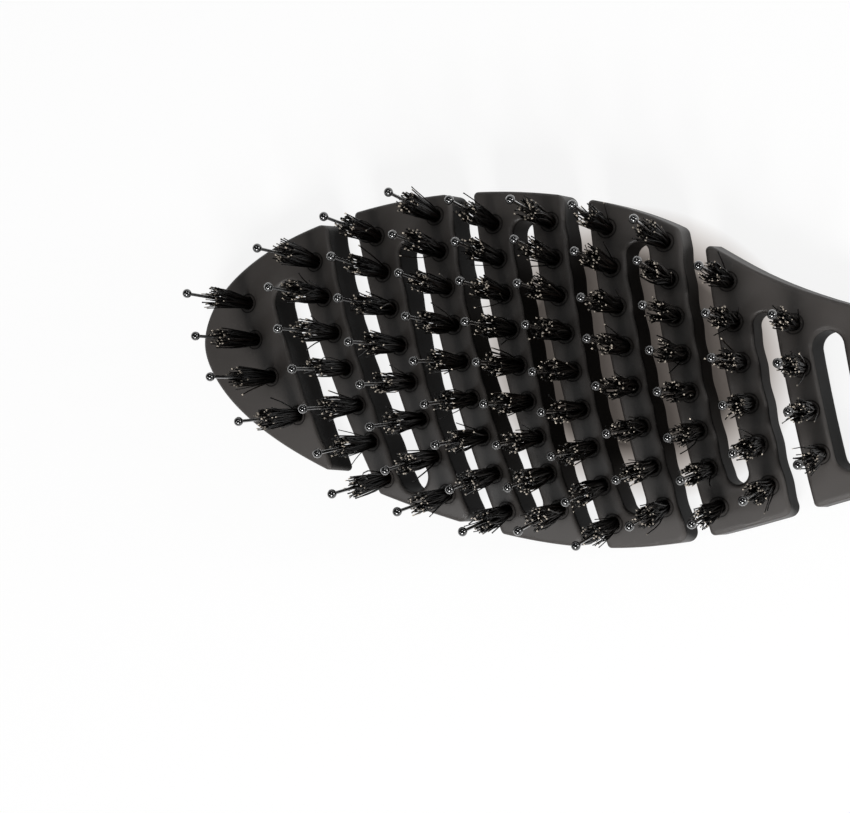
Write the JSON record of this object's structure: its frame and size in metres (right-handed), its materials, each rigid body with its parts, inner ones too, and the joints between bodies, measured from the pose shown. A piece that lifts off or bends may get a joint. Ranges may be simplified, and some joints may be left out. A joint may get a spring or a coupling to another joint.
{
  "type": "vent brush",
  "caption": "Vent hairbrush with a flexible slotted head, mixed bristle tufts with ball-tipped pins, and a rounded grip with a hanging hole.",
  "frame": {"origin": "middle of the brush's length and width, on the surface that it lies on with its bristles up", "axes": "+X from the tip of the head to the end of the grip, +Z out of the bristles, +Y across the head"},
  "size_m": [0.25, 0.068, 0.0356],
  "materials": {
    "moulded_plastic": "dark warm grey moulded plastic with a fine matte texture",
    "nylon": "glossy black nylon",
    "bristle": "bundle of dark natural bristles with paler cut ends",
    "wire": "plain drawn wire"
  },
  "bodies": {
    "handle": {"handle": "moulded_plastic", "pins_neck": "nylon", "tufts_neck": "bristle", "staples_neck": "wire"},
    "rib_8": {"rib_8": "moulded_plastic", "pins_rib_8": "nylon", "tufts_rib_8": "bristle", "staples_rib_8": "wire"},
    "rib_7": {"rib_7": "moulded_plastic", "pins_rib_7": "nylon", "tufts_rib_7": "bristle", "staples_rib_7": "wire"},
    "rib_6": {"rib_6": "moulded_plastic", "pins_rib_6": "nylon", "tufts_rib_6": "bristle", "staples_rib_6": "wire"},
    "rib_5": {"rib_5": "moulded_plastic", "pins_rib_5": "nylon", "tufts_rib_5": "bristle", "staples_rib_5": "wire"},
    "rib_4": {"rib_4": "moulded_plastic", "pins_rib_4": "nylon", "tufts_rib_4": "bristle", "staples_rib_4": "wire"},
    "rib_3": {"rib_3": "moulded_plastic", "pins_rib_3": "nylon", "tufts_rib_3": "bristle", "staples_rib_3": "wire"},
    "rib_2": {"rib_2": "moulded_plastic", "pins_rib_2": "nylon", "tufts_rib_2": "bristle", "staples_rib_2": "wire"},
    "rib_1": {"rib_1": "moulded_plastic", "pins_rib_1": "nylon", "tufts_rib_1": "bristle", "staples_rib_1": "wire"},
    "tip_rib": {"tip_rib": "moulded_plastic", "pins_tip": "nylon", "tufts_tip": "bristle", "staples_tip": "wire"}
  },
  "joints": [
    {"name": "flex_9", "type": "hinge", "parent": "handle", "child": "rib_8", "pos_m": [-0.00369, 0.01719, 0.00777], "axis": [-0.2541, 0.9645, -0.0718], "range_deg": [-1.8, 1.8], "stiffness_Nm_per_rad": 2},
    {"name": "flex_8", "type": "hinge", "parent": "rib_8", "child": "rib_7", "pos_m": [-0.00329, -0.02257, 0.00712], "axis": [-0.3099, 0.9387, 0.1507], "range_deg": [-1.8, 1.8], "stiffness_Nm_per_rad": 2},
    {"name": "flex_7", "type": "hinge", "parent": "rib_7", "child": "rib_6", "pos_m": [-0.02955, 0.0283, 0.00798], "axis": [-0.2494, 0.9572, -0.1469], "range_deg": [-1.8, 1.8], "stiffness_Nm_per_rad": 2},
    {"name": "flex_6", "type": "hinge", "parent": "rib_6", "child": "rib_5", "pos_m": [-0.02347, -0.02921, 0.00757], "axis": [-0.3379, 0.9252, 0.1728], "range_deg": [-1.8, 1.8], "stiffness_Nm_per_rad": 2},
    {"name": "flex_5", "type": "hinge", "parent": "rib_5", "child": "rib_4", "pos_m": [-0.05397, 0.03111, 0.00777], "axis": [-0.2583, 0.9502, -0.1746], "range_deg": [-1.8, 1.8], "stiffness_Nm_per_rad": 2},
    {"name": "flex_4", "type": "hinge", "parent": "rib_4", "child": "rib_3", "pos_m": [-0.04482, -0.03103, 0.00783], "axis": [-0.3831, 0.9089, 0.1646], "range_deg": [-1.8, 1.8], "stiffness_Nm_per_rad": 2},
    {"name": "flex_3", "type": "hinge", "parent": "rib_3", "child": "rib_2", "pos_m": [-0.07896, 0.02698, 0.00743], "axis": [-0.3054, 0.9376, -0.1665], "range_deg": [-1.8, 1.8], "stiffness_Nm_per_rad": 2},
    {"name": "flex_2", "type": "hinge", "parent": "rib_2", "child": "rib_1", "pos_m": [-0.07049, -0.02802, 0.00776], "axis": [-0.4481, 0.8858, 0.1209], "range_deg": [-1.8, 1.8], "stiffness_Nm_per_rad": 2},
    {"name": "flex_1", "type": "hinge", "parent": "rib_1", "child": "tip_rib", "pos_m": [-0.10751, 0.01645, 0.00595], "axis": [-0.4145, 0.8995, -0.1384], "range_deg": [-1.8, 1.8], "stiffness_Nm_per_rad": 2}
  ],
  "couplings": [
    {"joint": "flex_8", "follows": "flex_9", "ratio": 1},
    {"joint": "flex_7", "follows": "flex_9", "ratio": 1},
    {"joint": "flex_6", "follows": "flex_9", "ratio": 1},
    {"joint": "flex_5", "follows": "flex_9", "ratio": 1},
    {"joint": "flex_4", "follows": "flex_9", "ratio": 1},
    {"joint": "flex_3", "follows": "flex_9", "ratio": 1},
    {"joint": "flex_2", "follows": "flex_9", "ratio": 1},
    {"joint": "flex_1", "follows": "flex_9", "ratio": 1}
  ]
}
